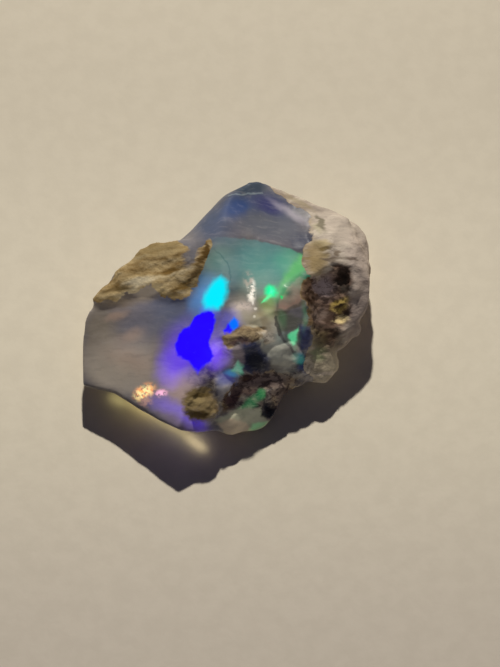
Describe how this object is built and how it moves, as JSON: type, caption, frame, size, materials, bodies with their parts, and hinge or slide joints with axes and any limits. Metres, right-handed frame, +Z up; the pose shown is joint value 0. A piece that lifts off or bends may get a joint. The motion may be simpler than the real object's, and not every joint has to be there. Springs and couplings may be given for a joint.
{
  "type": "rough opal specimen",
  "caption": "Rough broken lump of precious opal with sandy matrix and pale rind grown on, flat and shell-shaped broken faces, a worn hollow, and a flat underside to rest on.",
  "frame": {"origin": "on the plane of the flat underside, under the middle of the stone's outline", "axes": "X along the stone's length, from the thin smooth end to the thick rind end; Y across it, to the far side that carries the matrix crust; Z up from the resting face"},
  "size_m": [0.0218, 0.0188, 0.0083],
  "materials": {
    "opal": "glassy, milky grey-blue, with violet, blue, cyan and green play of colour",
    "matrix": "rough, crumbly, tan and brown sandy matrix with a pale rind"
  },
  "bodies": {
    "root": {"rough_opal": "opal"}
  },
  "joints": []
}
